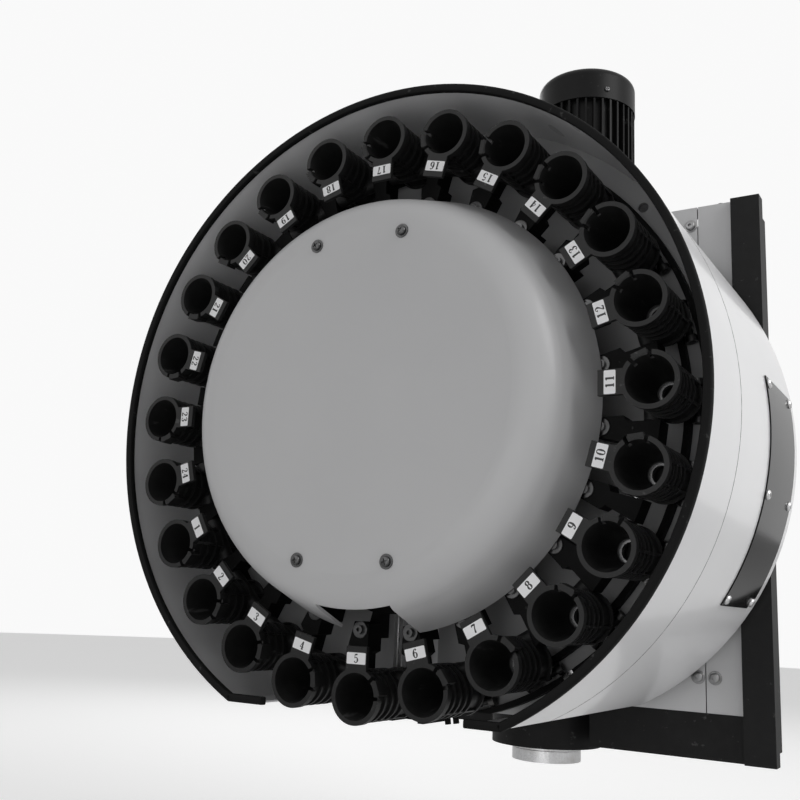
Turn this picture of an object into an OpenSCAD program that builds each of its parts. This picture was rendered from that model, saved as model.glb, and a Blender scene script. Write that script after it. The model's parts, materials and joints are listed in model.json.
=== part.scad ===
// Disc-type tool magazine of a machining centre, with its arm drive and mounting bracket.
// The origin is the middle of the bolt pattern on the rear mounting face, on the drum's axis.
// The drum looks along -Y, +Z is up. Pot 5 is at the change position, at the bottom.

/* [Drum cover] */
// Distance from the circle of pots out to the drum wall's outer face
rim_room = 58; // [50:1:80]
// Thickness of the drum's sheet metal
sheet = 2; // [1.5:0.5:3]
// Depth from the plane of the pot mouths to the partition plate
plate_y = 125; // [123:1:135]
// Depth from the plane of the pot mouths to the back of the drum
drum_back_y = 435; // [400:5:460]
// How far the wall stands in front of the pot mouths
wall_lead = 1; // [0:1:10]
// Distance from the circle of pots out to the flat bottom cut
cut_room = 17; // [10:1:25]
// Left edge of the opening in the bottom
opening_left = 125; // [100:1:140]
// Right edge of the opening in the bottom
opening_right = 134; // [100:1:145]
// Depth of the rubber edge trim
trim_depth = 7; // [5:1:16]

/* [Pots] */
// Number of pots on the disc
pot_count = 24; // [20:1:24]
// Radius of the circle of pots
pot_circle_r = 320; // [316:1:322]
// Outer radius of a pot's mouth ring
mouth_r = 29.5; // [28:0.5:30]
// Radius of the taper at the mouth
taper_mouth_r = 24.5; // [22:0.5:25]
// Radius of the taper at its small end
taper_small_r = 13.5; // [12:0.5:15]
// Length of the taper
taper_len = 70; // [65:1:75]
// Outer radius of a pot's body between its ribs
pot_body_r = 25; // [24:0.5:26]
// Length of a pot's full body
pot_body_len = 88; // [84:1:90]
// Radius of the tail stub
stub_r = 12; // [10:0.5:12]
// Depth of the tail stub's end
stub_end_y = 97; // [96.5:0.5:97.5]

/* [Pot pivot and roller] */
// Depth of the pivot axis
pivot_y = 66; // [65:0.5:66.5]
// Distance of the pivot axis from the pot's own axis, inwards
pivot_in = 16; // [15:0.5:16.5]
// Radius of a pivot pin
pin_r = 5; // [4:0.5:6]
// Radial clearance of a running fit
run_gap = 0.05; // [0.02:0.01:0.1]
// Radial clearance of a fixed fit
seat_gap = 0.02; // [0.01:0.01:0.03]
// Depth of the roller axis
roller_y = 114; // [113:1:115]
// Distance of the roller axis from the pot's own axis, outwards
roller_out = 16.5; // [15:0.5:18]
// Radius of a tail roller
roller_r = 7; // [6:0.5:7.5]
// Clearance between rollers and their guide rings
guide_gap = 0.6; // [0.4:0.1:1]

/* [Disc] */
// Distance from the circle of pots in to the disc's rim
disc_in = 58; // [56:1:62]
// Depth of the disc's front face
disc_y = 84; // [82:1:88]
// Thickness of the disc's rim
disc_t = 20; // [16:1:22]
// Radius of the fixed spindle in the middle
spindle_r = 35; // [25:1:45]

/* [Centre cover] */
// Distance from the circle of pots in to the cover's base
cover_in = 64; // [62:1:70]
// How much smaller the cover's front is than its base, as a radius
cover_slope = 18; // [14:1:24]
// Depth of the cover's base
cover_base_y = 49; // [45:1:52]
// Distance of the cover's front in front of the mouths
cover_lead = 40; // [36:1:42]
// Radius of the cover's rounded front edge
cover_edge = 44; // [30:1:48]

/* [Flip drive] */
// Stroke of the flip cylinder for a quarter turn of the pot
flip_stroke = 81; // [80:0.5:82]
// Half gap of the fork's slot
fork_gap = 10.5; // [10.5:0.5:11]
// Height of the fork above the rollers of the standing pots
fork_lead = 1.8; // [1.4:0.2:2.2]

/* [Index drive] */
// Gear module of the index drive
gear_module = 4; // [3:0.5:4]
// Teeth of the gear on the disc
gear_teeth = 72; // [60:1:80]
// Teeth of the pinion
pinion_teeth = 18; // [16:1:20]

/* [Arm drive and bracket] */
// Distance from the back of the drum to the mounting face
mount_room = 189; // [187:1:215]
// Sideways place of the arm motor
motor_x = 56; // [40:1:60]
// Radius of the motor's fan cowl
cowl_r = 78; // [70:1:82]
// Height of the top of the fan cowl above the axis
motor_top = 632; // [600:1:660]
// Stroke of the arm spindle
arm_stroke = 115; // [90:5:120]
// Thickness of the bracket's plates
bracket_t = 24; // [18:1:30]
// Outer side of the bracket's right web
web_x = 312; // [300:1:340]

/* [Hidden] */
$fn = 96;
eps = 0.01;
// How far a cutting shape runs past a face, and how far a big one does
over = 1;
cut_wide = 60;
// Gap between two faces that sit on each other
seat = 0.02;
// Free gap round a piece that is held elsewhere
loose = 0.3;

change_pot = 5;
pitch = 360 / pot_count;

// Radii that follow the circle of pots, and depths that follow the drum's back
drum_r = pot_circle_r + rim_room;
wall_in = drum_r - sheet;
bottom_cut = pot_circle_r + cut_room;
pivot_r = pot_circle_r - pivot_in;
roller_circle_r = pot_circle_r + roller_out;
disc_r = pot_circle_r - disc_in;
cover_base_r = pot_circle_r - cover_in;
cover_front_r = cover_base_r - cover_slope;
mount_depth = drum_back_y + mount_room;
box_behind = 5;
box_y0 = drum_back_y + box_behind;
box_y1 = mount_depth - bracket_t;
arm_y = (box_y0 + box_y1) / 2;

// Everything is drawn in the drum's frame and moved back from the mounting face here
module from_face() translate([0, -mount_depth, 0]) children();

// A cylinder along +Y, from depth y0 to depth y1
module rod_y(r, y0, y1, r2 = undef, x = 0, z = 0) {
  translate([x, y0, z])
    rotate([-90, 0, 0])
      cylinder(r1 = r, r2 = is_undef(r2) ? r : r2, h = y1 - y0);
}

// A cylinder along +X
module rod_x(r, x0, x1, y = 0, z = 0) {
  translate([x0, y, z])
    rotate([0, 90, 0])
      cylinder(r = r, h = x1 - x0);
}

// A cylinder along +Z
module rod_z(r, z0, z1, x = 0, y = 0) {
  translate([x, y, z0])
    cylinder(r = r, h = z1 - z0);
}

// A box between two corners
module box(a, b) {
  translate(a)
    cube(b - a);
}

// A ring round the Y axis
module ring_y(r_out, r_in, y0, y1) {
  difference() {
    rod_y(r_out, y0, y1);
    rod_y(r_in, y0 - over, y1 + over);
  }
}

// Turns a shape modelled at the bottom to the place of pot k
module at_pot(k) rotate([0, -(k - change_pot) * pitch, 0]) children();

// Turns a shape modelled at the bottom to the gap after pot k
module at_gap(k) at_pot(k + 0.5) children();

// Everything below the flat bottom cut
module below_cut(h = bottom_cut) {
  translate([-drum_r - cut_wide, -cut_wide, -h - drum_r])
    cube([2 * (drum_r + cut_wide), drum_back_y + 2 * cut_wide, drum_r]);
}

// Drum cover

lip_left = sqrt(drum_r * drum_r - bottom_cut * bottom_cut);

// The flat lips beside the opening in the bottom
module bottom_lips(y0, y1) {
  box([-lip_left + 1, y0, -bottom_cut], [-opening_left, y1, -bottom_cut + sheet]);
  box([opening_right, y0, -bottom_cut], [lip_left - 1, y1, -bottom_cut + sheet]);
}

module front_shell() color("whitesmoke") from_face() {
  difference() {
    ring_y(drum_r, wall_in, -wall_lead, plate_y);
    below_cut();
  }
  bottom_lips(-wall_lead, plate_y);
}

module rear_shell() color("whitesmoke") from_face() {
  difference() {
    union() {
      ring_y(drum_r, wall_in, plate_y, drum_back_y);
      ring_y(drum_r, flange_r + seat_gap, drum_back_y - sheet, drum_back_y);
    }
    below_cut();
  }
  difference() {
    bottom_lips(plate_back, drum_back_y - sheet);
    for (s = [-1, 1])
      box([s * rod_x_pos - foot_half, plate_y, -bottom_cut - over],
          [s * rod_x_pos + foot_half, rod_y_pos + foot_half, -bottom_cut + 2 * sheet]);
  }
}
foot_half = 20;

trim_out = 2;
trim_in = 5;
trim_tool = 30;
module edge_trim() color([0.05, 0.05, 0.05]) from_face() {
  difference() {
    ring_y(drum_r + trim_out, wall_in - trim_in, -wall_lead - trim_out, -wall_lead + trim_depth);
    ring_y(drum_r + seat_gap, wall_in - seat_gap, -wall_lead, trim_tool);
    below_cut(bottom_cut + trim_out);
    box([-opening_left, -trim_tool, -drum_r - trim_tool],
        [opening_right, trim_tool, -bottom_cut + trim_tool]);
    bottom_lips(-wall_lead, trim_tool);
  }
  difference() {
    for (side = [[-lip_left - trim_out, trim_out - opening_left],
                 [opening_right - trim_out, lip_left + trim_out]])
      box([side[0], -wall_lead - trim_out, -bottom_cut - trim_out],
          [side[1], -wall_lead, -bottom_cut + sheet + trim_out]);
    ring_y(drum_r + cut_wide, drum_r + trim_out, -trim_tool, trim_tool);
  }
}

plate_t = 6;
plate_back = plate_y + plate_t;
window_x = 30;
window_gap = 4.5;
jaw_t = 8;
window_top = roller_circle_r - fork_lead - fork_gap - jaw_t - flip_stroke - window_gap;
hole_angles = [40, 140];
hole_in = 18;
hole_circle_r = drum_r - hole_in;
hole_r = 6;
module partition_plate() color("silver") from_face() {
  difference() {
    rod_y(wall_in - loose, plate_y, plate_back);
    below_cut(bottom_cut - sheet - loose);
    box([-window_x, plate_y - over, -drum_r], [window_x, plate_back + over, -window_top]);
    rod_y(spindle_r + seat_gap, plate_y - over, plate_back + over);
    rod_y(motor_shaft_r + 4, plate_y - over, plate_back + over, z = gear_centre);
    for (a = hole_angles)
      rod_y(hole_r, plate_y - over, plate_back + over,
            x = hole_circle_r * cos(a), z = hole_circle_r * sin(a));
  }
}

guide_t = 6.5;
guide_len = 13;
guide_out = roller_circle_r + roller_r + 2 * guide_gap;
guide_in = roller_circle_r - roller_r - guide_gap;
gap_x = 32;
module guide_rings() color([0.08, 0.08, 0.08]) from_face() {
  difference() {
    union() {
      ring_y(guide_out + guide_t, guide_out, plate_y - guide_len, plate_y);
      ring_y(guide_in, guide_in - guide_t, plate_y - guide_len, plate_y);
    }
    box([-gap_x, 0, -drum_r], [gap_x, plate_y + over, 0]);
    below_cut(bottom_cut - sheet - loose);
  }
}

strip_y0 = 267;
strip_y1 = 410;
strip_a0 = -33;
strip_a1 = 9;
strip_t = 1.5;
strip_gap = 0.2;
strip_tool = 8;
strip_notch_r = 13;
strip_hole_r = 3;
screw_shank_r = 2.8;
screw_head_r = 6;
screw_head_t = 3.45;
strip_out = drum_r + strip_gap + strip_t;
screw_angles = [7.7, -12.1, -31.7];
screw_depths = [276, 399];
module side_strip() color([0.1, 0.1, 0.11]) from_face() {
  difference() {
    translate([0, strip_y1, 0])
      rotate([90, 0, 0])
        rotate([0, 0, strip_a0])
          rotate_extrude(angle = strip_a1 - strip_a0)
            translate([drum_r + strip_gap, 0])
              square([strip_t, strip_y1 - strip_y0]);
    rotate([0, -(screw_angles[2] - 1), 0])
      rod_x(strip_notch_r, drum_r - strip_tool, drum_r + strip_tool, y = strip_y1);
    for (a = screw_angles, y = screw_depths)
      rotate([0, -a, 0])
        rod_x(strip_hole_r, drum_r - strip_tool, drum_r + strip_tool, y = y);
  }
}

module strip_screws() color("gainsboro") from_face() {
  for (a = screw_angles, y = screw_depths)
    rotate([0, -a, 0]) {
      rod_x(screw_shank_r, drum_r + eps, strip_out + over, y = y);
      rod_x(screw_head_r, strip_out + seat, strip_out + screw_head_t, y = y);
    }
}

// Centre cover

cover_t = 3;
cover_arc_r = cover_front_r - cover_edge;
cover_arc_y = cover_edge - cover_lead;
notch_y = -21.5;
notch_deep = 38;
notch_top = cover_base_r - notch_deep;
notch_past = 5;
notch_low = cover_base_r + notch_past;
notch_left = [38, 60];
notch_right = [53, 48];
cover_screw_x = 57.3;
cover_screw_in = 58;
cover_screw_z = cover_front_r - cover_screw_in;
cover_hole_r = 3.5;
cover_screw_r = 3.4;
washer_r = 8;
washer_t = 1.5;
head_r = 5.5;
head_t = 3.5;

// Outward direction of the cover's sloping side, which leaves the rounded edge as a tangent
side_run = [cover_base_r - cover_arc_r, cover_base_y - cover_arc_y];
side_angle = atan2(side_run[1], side_run[0]) - acos(cover_edge / norm(side_run));
side_n = [cos(side_angle), sin(side_angle)];

// Outer form of the cover, set in by t from its outer face
module cover_form(t = 0) {
  r = cover_edge - t;
  base = cover_base_y + (t > 0 ? over : 0);
  rotate([-90, 0, 0])
    rotate_extrude() {
      intersection() {
        translate([cover_arc_r, cover_arc_y])
          circle(r = r);
        translate([0, -cover_lead])
          square([cover_base_r, cover_edge]);
      }
      polygon([
        [0, cover_arc_y - r],
        [cover_arc_r, cover_arc_y - r],
        [cover_arc_r + r * side_n[0], cover_arc_y + r * side_n[1]],
        [cover_base_r - t / side_n[0], cover_base_y],
        [cover_base_r - t / side_n[0], base],
        [0, base]]);
    }
}
module centre_cover() color("whitesmoke") from_face() {
  difference() {
    cover_form();
    cover_form(cover_t);
    rotate([90, 0, 0])
      translate([0, 0, -cover_base_y - over])
        linear_extrude(height = cover_base_y + over - notch_y)
          polygon([[-notch_left[1], -notch_low], [notch_right[1], -notch_low],
                   [notch_right[0], -notch_top], [-notch_left[0], -notch_top]]);
    for (sx = [-1, 1], sz = [-1, 1])
      rod_y(cover_hole_r, -cover_lead - over, 0, x = sx * cover_screw_x, z = sz * cover_screw_z);
  }
}

module cover_screws() color("gainsboro") from_face() {
  for (sx = [-1, 1], sz = [-1, 1]) {
    x = sx * cover_screw_x;
    z = sz * cover_screw_z;
    rod_y(cover_screw_r, -cover_lead - washer_t, carrier_y + carrier_t - over, x = x, z = z);
    rod_y(washer_r, -cover_lead - washer_t, -cover_lead - seat, x = x, z = z);
    rod_y(head_r, -cover_lead - washer_t - head_t, -cover_lead - washer_t, x = x, z = z);
  }
}

carrier_gap = 4;
carrier_y = -cover_lead + cover_t + carrier_gap;
carrier_t = 9;
carrier_edge = 16;
carrier_hub_len = 27;
carrier_cap = 6;
boss_len = 3.5;
boss_out_r = 9;
lighten_x = 58;
lighten_half = 15;
lighten_z = [60, 140];
module cover_carrier() color("dimgray") from_face() {
  difference() {
    union() {
      box([-cover_screw_x - carrier_edge, carrier_y, -cover_screw_z - carrier_edge],
          [cover_screw_x + carrier_edge, carrier_y + carrier_t, cover_screw_z + carrier_edge]);
      rod_y(spindle_r + carrier_edge, carrier_y, carrier_y + carrier_hub_len);
      for (sx = [-1, 1], sz = [-1, 1])
        rod_y(boss_out_r, carrier_y - boss_len, carrier_y, x = sx * cover_screw_x, z = sz * cover_screw_z);
    }
    rod_y(spindle_r + seat_gap, carrier_y + carrier_cap, carrier_y + carrier_hub_len + over);
    for (sx = [-1, 1], sz = [-1, 1]) {
      rod_y(cover_screw_r + seat_gap, carrier_y - boss_len - over, carrier_y + carrier_t + over,
            x = sx * cover_screw_x, z = sz * cover_screw_z);
      box([sx * lighten_x - lighten_half, carrier_y - over, sz > 0 ? lighten_z[0] : -lighten_z[1]],
          [sx * lighten_x + lighten_half, carrier_y + carrier_t + over,
           sz > 0 ? lighten_z[1] : -lighten_z[0]]);
    }
  }
}

// Spindle, bearings and disc

bearing_wall = 20;
bearing_r = spindle_r + bearing_wall;
bearing_w = 18;
hub_wall = 15;
hub_r = bearing_r + hub_wall;
hub_front = 36;
hub_y0 = disc_y - hub_front;
hub_gap = 6;
hub_y1 = plate_y - hub_gap;
bearing_back = 20;
spindle_out = 40;
spindle_back = plate_back + spindle_out;
module spindle() color("silver") from_face() {
  rod_y(spindle_r, carrier_y + carrier_cap + seat, spindle_back);
  ring_y(spindle_r + 4, spindle_r - over, hub_y1 - bearing_back + seat_gap, plate_y - seat);
}

race_t = 6;
shield_depth = 1.5;

// A sealed bearing as one closed ring, its shields set in between the races
module bearing(y0) {
  difference() {
    ring_y(bearing_r, spindle_r + seat_gap, y0, y0 + bearing_w);
    for (y = [y0 - over, y0 + bearing_w - shield_depth])
      ring_y(bearing_r - race_t, spindle_r + race_t, y, y + shield_depth + over);
  }
}

module hub_bearings() color("silver") from_face() {
  bearing(hub_y0);
  bearing(hub_y1 - bearing_w - bearing_back);
}

hub_lip = 4;
slot_half = 25;
slot_deep = 29;
slot_root_r = disc_r - slot_deep;
disc_rim = 36;
rim_in_r = disc_r - disc_rim;
web_set = 5;
web_y0 = disc_y + web_set;
disc_web_t = 10;
web_y1 = web_y0 + disc_web_t;
web_hole_r = 34;
web_hole_in = 50;
web_hole_circle_r = rim_in_r - web_hole_in;
web_hole_turn = 22.5;
module disc() color([0.12, 0.12, 0.12]) from_face() {
  difference() {
    union() {
      ring_y(disc_r, rim_in_r, disc_y, disc_y + disc_t);
      rod_y(rim_in_r + over, web_y0, web_y1);
      rod_y(hub_r, hub_y0 - hub_lip, hub_y1);
    }
    rod_y(bearing_r + seat_gap, hub_y0, hub_y0 + bearing_w);
    rod_y(bearing_r + seat_gap, hub_y1 - bearing_w - bearing_back, hub_y1 + over);
    rod_y(spindle_r + race_t - over, hub_y0 - hub_lip - over, hub_y1 + over);
    for (k = [1:pot_count])
      at_pot(k)
        box([-slot_half, disc_y - over, -disc_r - over],
            [slot_half, disc_y + disc_t + over, -slot_root_r]);
    for (a = [0:45:315])
      rotate([0, a + web_hole_turn, 0])
        rod_y(web_hole_r, web_y0 - over, web_y1 + over, x = web_hole_circle_r);
  }
}

// Sides of a pot bracket, one at each neighbouring pot, in the frame of the gap's middle
ear_half = 29;
root_half = 22.5;
ear_in = 28;
ear_root_r = pivot_r - ear_in;
ear_step = 4;
ear_out = 11;
ear_end_r = pivot_r + ear_out;
bracket_in = 16;
bracket_root_r = disc_r - bracket_in;
bracket_len = 28;
bracket_y0 = disc_y - bracket_len;

// Half width of the gap's bracket at radius r, beside a pot that needs half width h
function gap_half(r, h) = r * tan(pitch / 2) - h / cos(pitch / 2);

module pot_bracket() {
  rotate([90, 0, 0])
    translate([0, 0, -disc_y])
      linear_extrude(height = disc_y - bracket_y0)
        polygon([
          [-gap_half(bracket_root_r, root_half), -bracket_root_r],
          [gap_half(bracket_root_r, root_half), -bracket_root_r],
          [gap_half(ear_root_r, root_half), -ear_root_r],
          [gap_half(ear_root_r + ear_step, ear_half), -ear_root_r - ear_step],
          [gap_half(ear_end_r, ear_half), -ear_end_r],
          [-gap_half(ear_end_r, ear_half), -ear_end_r],
          [-gap_half(ear_root_r + ear_step, ear_half), -ear_root_r - ear_step],
          [-gap_half(ear_root_r, root_half), -ear_root_r]]);
}

pin_in = 21;
pin_out = 35;
pin_tip = 0.2;
bracket_bolt_in = 8;
bracket_bolt_r = disc_r - bracket_bolt_in;
bolt_hole_r = 3;
bolt_r = 2.9;
bolt_head_r = 5;
bolt_head_t = 5.5;
hex_r = 2.6;
hex_depth = 3;
module pot_brackets() color([0.1, 0.1, 0.1]) from_face() {
  for (k = [1:pot_count])
    difference() {
      at_gap(k) pot_bracket();
      at_pot(k) rod_x(pin_r + seat_gap, ear_half - over, pin_out + pin_tip, y = pivot_y, z = -pivot_r);
      at_pot(k + 1)
        rod_x(pin_r + seat_gap, -pin_out - pin_tip, -ear_half + over, y = pivot_y, z = -pivot_r);
      at_gap(k) rod_y(bolt_hole_r, bracket_y0 - over, disc_y + over, z = -bracket_bolt_r);
    }
}

module pivot_pins() color("silver") from_face() {
  for (k = [1:pot_count], s = [0, 1])
    at_pot(k)
      mirror([s, 0, 0])
        rod_x(pin_r, pin_in, pin_out, y = pivot_y, z = -pivot_r);
}

module bracket_screws() color("gainsboro") from_face() {
  for (k = [1:pot_count])
    at_gap(k) {
      rod_y(bolt_r, bracket_y0 - over, disc_y - pin_tip, z = -bracket_bolt_r);
      difference() {
        rod_y(bolt_head_r, bracket_y0 - bolt_head_t, bracket_y0 - seat, z = -bracket_bolt_r);
        translate([0, bracket_y0 - bolt_head_t - over, -bracket_bolt_r])
          rotate([-90, 0, 0])
            cylinder(r = hex_r, h = hex_depth + over, $fn = 6);
      }
    }
}

// Pots

rib_r = 28.3;
rib_t = 3;
rib_ys = [18, 31, 44, 57, 84];
rib_web_half = 1.5;
rib_web_in = 0.5;
rib_web_end = 86;
rib_web_angles = [25, 155, 205, 335];
shoulder = 8;
tab_half = 13;
tab_reach = 52;
tab_in_r = pot_circle_r - tab_reach;
tab_t = 5;
ring_depth = 8;
key_angles = [50, 88];
key_half = 8;
key_len = 16;
key_out = 1.2;
key_lead = 0.4;
key_root = 4;
key_slot = 3;
key_slot_half = 2;
key_slot_len = 10;
boss_r = 10;
boss_gap = 0.8;
ring_seat_r = 17;
ring_past = 4;
ring_seat_y = taper_len + ring_past;
ring_seat_len = 8;
tail_bore_r = 12.5;
tail_bore_y = 94;
tail_half = 5;
tail_len = 12;
roller_pin_r = 4;
roller_pin_out = 0.5;

// The raised arc piece beside the mouth's key gap, and the two slots that set it off
module key_block() {
  rotate([0, (key_angles[0] + key_angles[1]) / 2, 0])
    box([-key_half, -key_lead, mouth_r - key_root], [key_half, key_len, mouth_r + key_out]);
}
module key_slots() {
  for (a = [key_angles[0] - key_slot, key_angles[1] + key_slot])
    rotate([0, a, 0])
      box([-key_slot_half, -over, taper_mouth_r - key_slot],
          [key_slot_half, key_slot_len, mouth_r + key_slot]);
}

module pot(k) color([0.07, 0.07, 0.07]) from_face() at_pot(k)
  difference() {
    union() {
      translate([0, 0, -pot_circle_r]) {
        rod_y(mouth_r, 0, ring_depth);
        rod_y(pot_body_r, 0, pot_body_len);
        rod_y(pot_body_r, pot_body_len, pot_body_len + shoulder, r2 = stub_r + 2);
        rod_y(stub_r, pot_body_len, stub_end_y);
        for (y = rib_ys)
          rod_y(rib_r, y, y + rib_t);
        for (a = rib_web_angles)
          rotate([0, a, 0])
            box([-rib_web_half, 0, rib_web_in - rib_r], [rib_web_half, rib_web_end, 0]);
        key_block();
      }
      box([-tab_half, 0, shoulder - pot_circle_r], [tab_half, tab_t, -tab_in_r]);
      rod_x(boss_r, boss_gap - ear_half, ear_half - boss_gap, y = pivot_y, z = -pivot_r);
      box([-tail_half, stub_end_y - tail_len, -roller_circle_r - tail_half],
          [tail_half, stub_end_y, -pot_circle_r]);
      box([-tail_half, stub_end_y - over, -roller_circle_r - tail_half],
          [tail_half, roller_y + tail_half, -roller_circle_r + tail_half]);
      rod_x(roller_pin_r, -roller_x1 - roller_pin_out, roller_x1 + roller_pin_out,
            y = roller_y, z = -roller_circle_r);
    }
    translate([0, 0, -pot_circle_r]) {
      rod_y(taper_mouth_r, -eps, taper_len, r2 = taper_small_r);
      rod_y(tail_bore_r, taper_len - over, tail_bore_y);
      rod_y(ring_seat_r, ring_seat_y, ring_seat_y + ring_seat_len);
      key_slots();
    }
    for (s = [0, 1])
      mirror([s, 0, 0])
        rod_x(pin_r + run_gap, pin_in - over, ear_half + over, y = pivot_y, z = -pivot_r);
  }

roller_x0 = 17.3;
roller_x1 = 23.8;
module roller_pair() {
  for (s = [0, 1])
    mirror([s, 0, 0])
      difference() {
        rod_x(roller_r, roller_x0, roller_x1, y = roller_y, z = -roller_circle_r);
        rod_x(roller_pin_r + run_gap, roller_x0 - over, roller_x1 + over,
              y = roller_y, z = -roller_circle_r);
      }
}

module tail_rollers() color("silver") from_face() {
  for (k = [1:pot_count])
    if (k != change_pot)
      at_pot(k) roller_pair();
}
module tail_rollers_5() color("silver") from_face() at_pot(change_pot) roller_pair();

grip_in_r = 10;
module grip_ring() {
  translate([0, 0, -pot_circle_r])
    ring_y(ring_seat_r - seat_gap, grip_in_r, ring_seat_y + seat, ring_seat_y + ring_seat_len - seat);
}
module grip_rings() color("lightgray") from_face() {
  for (k = [1:pot_count])
    if (k != change_pot)
      at_pot(k) grip_ring();
}
module grip_ring_5() color("lightgray") from_face() at_pot(change_pot) grip_ring();

// Index drive

gear_y0 = 106;
gear_w = 10;
gear_r = gear_module * gear_teeth / 2;
pinion_r = gear_module * pinion_teeth / 2;
backlash = 0.25;
gear_hole_r = 18;
gear_hole_circle_r = 100;
// Points of one tooth: radius out of the pitch circle in modules, and place along the pitch
tooth = [[-1.2, -0.36], [0, -0.24], [0.95, -0.13], [0.95, 0.13], [0, 0.24], [-1.2, 0.36]];
gear_centre = gear_r + pinion_r + backlash;
motor_shaft_r = 9;

// A spur gear's outline, with straight-sided teeth
module gear_outline(teeth, turn = 0) {
  r = gear_module * teeth / 2;
  p = 360 / teeth;
  rotate(turn)
    polygon([for (i = [0:teeth - 1], v = tooth)
      (r + gear_module * v[0]) * [cos((i + v[1]) * p), sin((i + v[1]) * p)]]);
}

module disc_gear() color("gray") from_face() {
  translate([0, gear_y0, 0])
    rotate([-90, 0, 0])
      difference() {
        linear_extrude(height = gear_w)
          gear_outline(gear_teeth, -90);
        translate([0, 0, -over])
          cylinder(r = hub_r + seat_gap, h = gear_w + 2 * over);
        for (a = [0:45:315])
          rotate([0, 0, a])
            translate([gear_hole_circle_r, 0, -over])
              cylinder(r = gear_hole_r, h = gear_w + 2 * over);
      }
}

module pinion() color("silver") from_face() {
  translate([0, gear_y0, gear_centre])
    rotate([-90, 0, 0])
      linear_extrude(height = gear_w)
        gear_outline(pinion_teeth, 90 + 180 / pinion_teeth);
  rod_y(motor_shaft_r, gear_y0, plate_back + shaft_len, z = gear_centre);
}

shaft_len = 40;
index_flange_half = 48;
index_flange_t = 16;
index_motor_r = 44;
index_motor_len = 150;
terminal_half = 24;
terminal_y = [60, 110];
terminal_z = [30, 62];
module index_motor() color("dimgray") from_face() {
  difference() {
    union() {
      box([-index_flange_half, plate_back + seat, gear_centre - index_flange_half],
          [index_flange_half, plate_back + index_flange_t, gear_centre + index_flange_half]);
      rod_y(index_motor_r, plate_back + index_flange_t - over, plate_back + index_motor_len,
            z = gear_centre);
      box([-terminal_half, plate_back + terminal_y[0], gear_centre + terminal_z[0]],
          [terminal_half, plate_back + terminal_y[1], gear_centre + terminal_z[1]]);
    }
    rod_y(motor_shaft_r + run_gap, plate_y, plate_back + shaft_len + 2 * over, z = gear_centre);
  }
}

// Flip drive of the pot at the change position

rod_x_pos = 42;
rod_y_pos = 153;
rod_r = 6;
rod_end = 3;
ear_up = 10.5;
ear_z0 = ear_up - roller_circle_r;
ear_tall = 30;
ear_z1 = ear_z0 + ear_tall;
ear_edge = 11;
prong_x = [16.8, 24.3];
prong_y0 = 107;
prong_past = 1;
prong_top_y0 = stub_end_y + prong_past;
jaw_back = 138;
carriage_deep = 12;
carriage_y1 = rod_y_pos + carriage_deep;
bar_gap = 5.5;
bar_t = 14;
bar_edge = 14;
bar_deep = 16;
bar_y1 = rod_y_pos + bar_deep;
top_bar_z = ear_z1 + flip_stroke + bar_gap;
foot_gap = 2;
fork_hold = 12;
piston_r = 16;
piston_up = 24;
piston_z = top_bar_z + piston_up;
piston_t = 10;
cylinder_wall = 4;
cylinder_foot = 12;
cylinder_cap = 6;
cylinder_half = 20;
cylinder_room = 7.5;
cylinder_top = piston_z + piston_t + flip_stroke + 2 * cylinder_cap + cylinder_room;
module flip_fork() color([0.15, 0.15, 0.15]) from_face() {
  z = fork_lead - roller_circle_r;
  jaw = fork_gap + jaw_t;
  difference() {
    union() {
      for (s = [0, 1])
        mirror([s, 0, 0]) {
          box([prong_x[0], prong_y0, z - jaw], [prong_x[1], jaw_back - seat, z - fork_gap]);
          box([prong_x[0], prong_top_y0, z + fork_gap], [prong_x[1], jaw_back - seat, z + jaw]);
        }
      box([-prong_x[1], jaw_back, z - jaw], [prong_x[1], carriage_y1 - over, z + jaw]);
      box([-rod_x_pos - ear_edge, jaw_back, ear_z0], [rod_x_pos + ear_edge, carriage_y1, ear_z1]);
    }
    for (s = [-1, 1])
      rod_z(rod_r + run_gap, ear_z0 - over, ear_z1 + over, x = s * rod_x_pos, y = rod_y_pos);
    rod_z(rod_r + seat_gap, ear_z1 - fork_hold, ear_z1 + over, y = rod_y_pos);
  }
}

module guide_rods() color("silver") from_face() {
  for (s = [-1, 1])
    rod_z(rod_r, rod_end - bottom_cut, top_bar_z + bar_t - over, x = s * rod_x_pos, y = rod_y_pos);
}

module flip_frame() color([0.15, 0.15, 0.15]) from_face() {
  difference() {
    union() {
      box([-rod_x_pos - bar_edge, plate_back + seat, top_bar_z],
          [rod_x_pos + bar_edge, bar_y1, top_bar_z + bar_t]);
      for (s = [-1, 1])
        box([s * rod_x_pos - ear_edge, plate_back + seat, over - bottom_cut],
            [s * rod_x_pos + ear_edge, carriage_y1, ear_z0 - foot_gap]);
    }
    for (s = [-1, 1])
      rod_z(rod_r + seat_gap, rod_end - seat - bottom_cut, top_bar_z + bar_t - over + seat,
            x = s * rod_x_pos, y = rod_y_pos);
    rod_z(rod_r + over, top_bar_z - over, top_bar_z + bar_t + over, y = rod_y_pos);
  }
}

module flip_cylinder() color("lightgray") from_face() {
  z0 = top_bar_z + bar_t + seat;
  difference() {
    union() {
      rod_z(piston_r + cylinder_wall, z0, cylinder_top, y = rod_y_pos);
      box([-cylinder_half, rod_y_pos - piston_r, z0],
          [cylinder_half, rod_y_pos + piston_r, z0 + cylinder_foot]);
      box([-cylinder_half, rod_y_pos - piston_r, cylinder_top - cylinder_foot],
          [cylinder_half, rod_y_pos + piston_r, cylinder_top]);
    }
    rod_z(piston_r + run_gap, z0 + 2 * cylinder_wall, cylinder_top - cylinder_cap, y = rod_y_pos);
    rod_z(rod_r + run_gap, top_bar_z, z0 + cylinder_foot, y = rod_y_pos);
  }
}

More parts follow.
